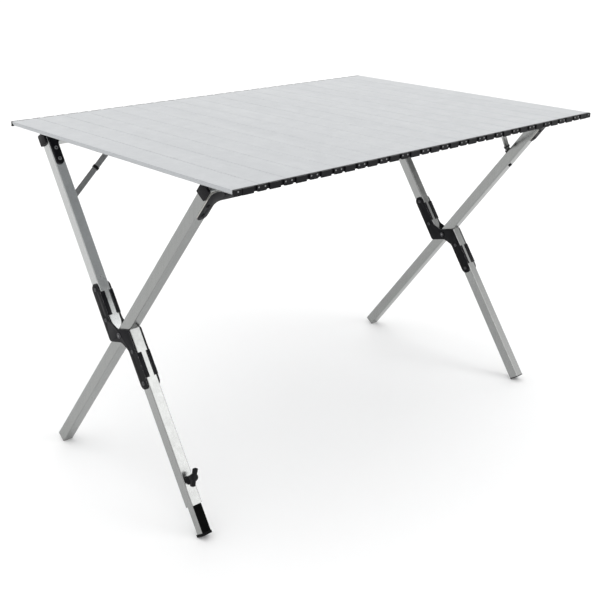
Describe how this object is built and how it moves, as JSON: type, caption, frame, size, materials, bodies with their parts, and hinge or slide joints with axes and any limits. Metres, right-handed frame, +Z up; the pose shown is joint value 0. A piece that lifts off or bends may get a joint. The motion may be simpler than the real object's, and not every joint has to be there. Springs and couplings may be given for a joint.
{
  "type": "folding camp table",
  "caption": "Folding camp table with a roll-up top of hinged aluminium slats on a scissor-folding frame of square tube with one adjustable foot.",
  "frame": {"origin": "on the floor, under the middle of the table top", "axes": "+X along the table's long side, +Y across it from the side with the straight legs' tops to the other, +Z up"},
  "size_m": [1.088, 0.72, 0.7],
  "materials": {
    "top_aluminium": "satin anodised, fine brushed",
    "slat_end_plastic": "moulded, fine texture",
    "frame_aluminium": "satin anodised",
    "black_bracket": "black powder coat",
    "rivet_steel": "zinc plated",
    "black_plastic": "moulded",
    "black_rubber": "matte"
  },
  "bodies": {
    "near_frame": {"rail_near": "frame_aluminium", "straight_leg_left": "frame_aluminium", "straight_leg_right": "frame_aluminium", "end_plugs_near": "black_plastic", "corner_plates_near": "black_bracket", "corner_stay_near": "frame_aluminium", "rivets_near": "rivet_steel", "scissor_pins": "rivet_steel"},
    "far_frame": {"rail_far": "frame_aluminium", "upper_leg_left": "frame_aluminium", "upper_leg_right": "frame_aluminium", "lower_leg_left": "frame_aluminium", "lower_leg_right": "frame_aluminium", "end_plugs_far": "black_plastic", "corner_plates_far": "black_bracket", "corner_stay_far": "frame_aluminium", "cross_bracket_left": "black_bracket", "cross_bracket_right": "black_bracket", "rivets_far": "rivet_steel", "clamp_collar": "black_plastic"},
    "sliding_foot": {"foot_tube": "frame_aluminium", "foot_strip": "black_plastic", "foot_cap": "black_rubber"},
    "knob": {"clamp_knob": "black_plastic"},
    "top_slat_01": {"slat_01": "top_aluminium", "slat_ends_01": "slat_end_plastic"},
    "top_slat_02": {"slat_02": "top_aluminium", "slat_ends_02": "slat_end_plastic"},
    "top_slat_03": {"slat_03": "top_aluminium", "slat_ends_03": "slat_end_plastic"},
    "top_slat_04": {"slat_04": "top_aluminium", "slat_ends_04": "slat_end_plastic"},
    "top_slat_05": {"slat_05": "top_aluminium", "slat_ends_05": "slat_end_plastic"},
    "top_slat_06": {"slat_06": "top_aluminium", "slat_ends_06": "slat_end_plastic"},
    "top_slat_07": {"slat_07": "top_aluminium", "slat_ends_07": "slat_end_plastic"},
    "top_slat_08": {"slat_08": "top_aluminium", "slat_ends_08": "slat_end_plastic"},
    "top_slat_09": {"slat_09": "top_aluminium", "slat_ends_09": "slat_end_plastic"},
    "top_slat_10": {"slat_10": "top_aluminium", "slat_ends_10": "slat_end_plastic"},
    "top_slat_11": {"slat_11": "top_aluminium", "slat_ends_11": "slat_end_plastic"},
    "top_slat_12": {"slat_12": "top_aluminium", "slat_ends_12": "slat_end_plastic"},
    "top_slat_13": {"slat_13": "top_aluminium", "slat_ends_13": "slat_end_plastic"},
    "top_slat_14": {"slat_14": "top_aluminium", "slat_ends_14": "slat_end_plastic"},
    "top_slat_15": {"slat_15": "top_aluminium", "slat_ends_15": "slat_end_plastic"},
    "top_slat_16": {"slat_16": "top_aluminium", "slat_ends_16": "slat_end_plastic"},
    "top_slat_17": {"slat_17": "top_aluminium", "slat_ends_17": "slat_end_plastic"},
    "top_slat_18": {"slat_18": "top_aluminium", "slat_ends_18": "slat_end_plastic"}
  },
  "joints": [
    {"name": "frame_fold", "type": "hinge", "parent": "near_frame", "child": "far_frame", "pos_m": [0, 0, 0.327], "axis": [1, 0, 0], "range_deg": [0, 68]},
    {"name": "top_lift", "type": "slide", "parent": "near_frame", "child": "top_slat_01", "axis": [0, 0, 1], "range_m": [0, 0.361]},
    {"name": "slat_hinge_01", "type": "hinge", "parent": "top_slat_01", "child": "top_slat_02", "pos_m": [-0.477, 0, 0.6965], "axis": [0, -1, 0], "range_deg": [0, 32.35]},
    {"name": "slat_hinge_02", "type": "hinge", "parent": "top_slat_02", "child": "top_slat_03", "pos_m": [-0.4165, 0, 0.6965], "axis": [0, -1, 0], "range_deg": [0, 33.09]},
    {"name": "slat_hinge_03", "type": "hinge", "parent": "top_slat_03", "child": "top_slat_04", "pos_m": [-0.356, 0, 0.6965], "axis": [0, -1, 0], "range_deg": [0, 33.82]},
    {"name": "slat_hinge_04", "type": "hinge", "parent": "top_slat_04", "child": "top_slat_05", "pos_m": [-0.2955, 0, 0.6965], "axis": [0, -1, 0], "range_deg": [0, 34.61]},
    {"name": "slat_hinge_05", "type": "hinge", "parent": "top_slat_05", "child": "top_slat_06", "pos_m": [-0.235, 0, 0.6965], "axis": [0, -1, 0], "range_deg": [0, 35.46]},
    {"name": "slat_hinge_06", "type": "hinge", "parent": "top_slat_06", "child": "top_slat_07", "pos_m": [-0.1745, 0, 0.6965], "axis": [0, -1, 0], "range_deg": [0, 36.37]},
    {"name": "slat_hinge_07", "type": "hinge", "parent": "top_slat_07", "child": "top_slat_08", "pos_m": [-0.114, 0, 0.6965], "axis": [0, -1, 0], "range_deg": [0, 37.37]},
    {"name": "slat_hinge_08", "type": "hinge", "parent": "top_slat_08", "child": "top_slat_09", "pos_m": [-0.0535, 0, 0.6965], "axis": [0, -1, 0], "range_deg": [0, 38.44]},
    {"name": "slat_hinge_09", "type": "hinge", "parent": "top_slat_09", "child": "top_slat_10", "pos_m": [0.007, 0, 0.6965], "axis": [0, -1, 0], "range_deg": [0, 39.62]},
    {"name": "slat_hinge_10", "type": "hinge", "parent": "top_slat_10", "child": "top_slat_11", "pos_m": [0.0675, 0, 0.6965], "axis": [0, -1, 0], "range_deg": [0, 40.92]},
    {"name": "slat_hinge_11", "type": "hinge", "parent": "top_slat_11", "child": "top_slat_12", "pos_m": [0.128, 0, 0.6965], "axis": [0, -1, 0], "range_deg": [0, 42.36]},
    {"name": "slat_hinge_12", "type": "hinge", "parent": "top_slat_12", "child": "top_slat_13", "pos_m": [0.1885, 0, 0.6965], "axis": [0, -1, 0], "range_deg": [0, 43.97]},
    {"name": "slat_hinge_13", "type": "hinge", "parent": "top_slat_13", "child": "top_slat_14", "pos_m": [0.249, 0, 0.6965], "axis": [0, -1, 0], "range_deg": [0, 45.79]},
    {"name": "slat_hinge_14", "type": "hinge", "parent": "top_slat_14", "child": "top_slat_15", "pos_m": [0.3095, 0, 0.6965], "axis": [0, -1, 0], "range_deg": [0, 47.86]},
    {"name": "slat_hinge_15", "type": "hinge", "parent": "top_slat_15", "child": "top_slat_16", "pos_m": [0.37, 0, 0.6965], "axis": [0, -1, 0], "range_deg": [0, 50.26]},
    {"name": "slat_hinge_16", "type": "hinge", "parent": "top_slat_16", "child": "top_slat_17", "pos_m": [0.4305, 0, 0.6965], "axis": [0, -1, 0], "range_deg": [0, 53.08]},
    {"name": "slat_hinge_17", "type": "hinge", "parent": "top_slat_17", "child": "top_slat_18", "pos_m": [0.491, 0, 0.6965], "axis": [0, -1, 0], "range_deg": [0, 56.46]},
    {"name": "foot_slide", "type": "slide", "parent": "far_frame", "child": "sliding_foot", "axis": [0, -0.5563, -0.831], "range_m": [-0.045, 0.03]},
    {"name": "knob_turn", "type": "hinge", "parent": "far_frame", "child": "knob", "pos_m": [-0.5105, -0.19826, 0.10005], "axis": [0, -0.831, 0.5563], "range_deg": [0, 360]}
  ],
  "couplings": [
    {"joint": "top_lift", "follows": "frame_fold", "m_per_rad": 0.3033},
    {"joint": "slat_hinge_02", "follows": "slat_hinge_01", "ratio": 1.0213},
    {"joint": "slat_hinge_03", "follows": "slat_hinge_01", "ratio": 1.044},
    {"joint": "slat_hinge_04", "follows": "slat_hinge_01", "ratio": 1.0684},
    {"joint": "slat_hinge_05", "follows": "slat_hinge_01", "ratio": 1.0946},
    {"joint": "slat_hinge_06", "follows": "slat_hinge_01", "ratio": 1.1228},
    {"joint": "slat_hinge_07", "follows": "slat_hinge_01", "ratio": 1.1535},
    {"joint": "slat_hinge_08", "follows": "slat_hinge_01", "ratio": 1.1868},
    {"joint": "slat_hinge_09", "follows": "slat_hinge_01", "ratio": 1.2233},
    {"joint": "slat_hinge_10", "follows": "slat_hinge_01", "ratio": 1.2634},
    {"joint": "slat_hinge_11", "follows": "slat_hinge_01", "ratio": 1.308},
    {"joint": "slat_hinge_12", "follows": "slat_hinge_01", "ratio": 1.3577},
    {"joint": "slat_hinge_13", "follows": "slat_hinge_01", "ratio": 1.4139},
    {"joint": "slat_hinge_14", "follows": "slat_hinge_01", "ratio": 1.4779},
    {"joint": "slat_hinge_15", "follows": "slat_hinge_01", "ratio": 1.552},
    {"joint": "slat_hinge_16", "follows": "slat_hinge_01", "ratio": 1.6391},
    {"joint": "slat_hinge_17", "follows": "slat_hinge_01", "ratio": 1.7437}
  ]
}
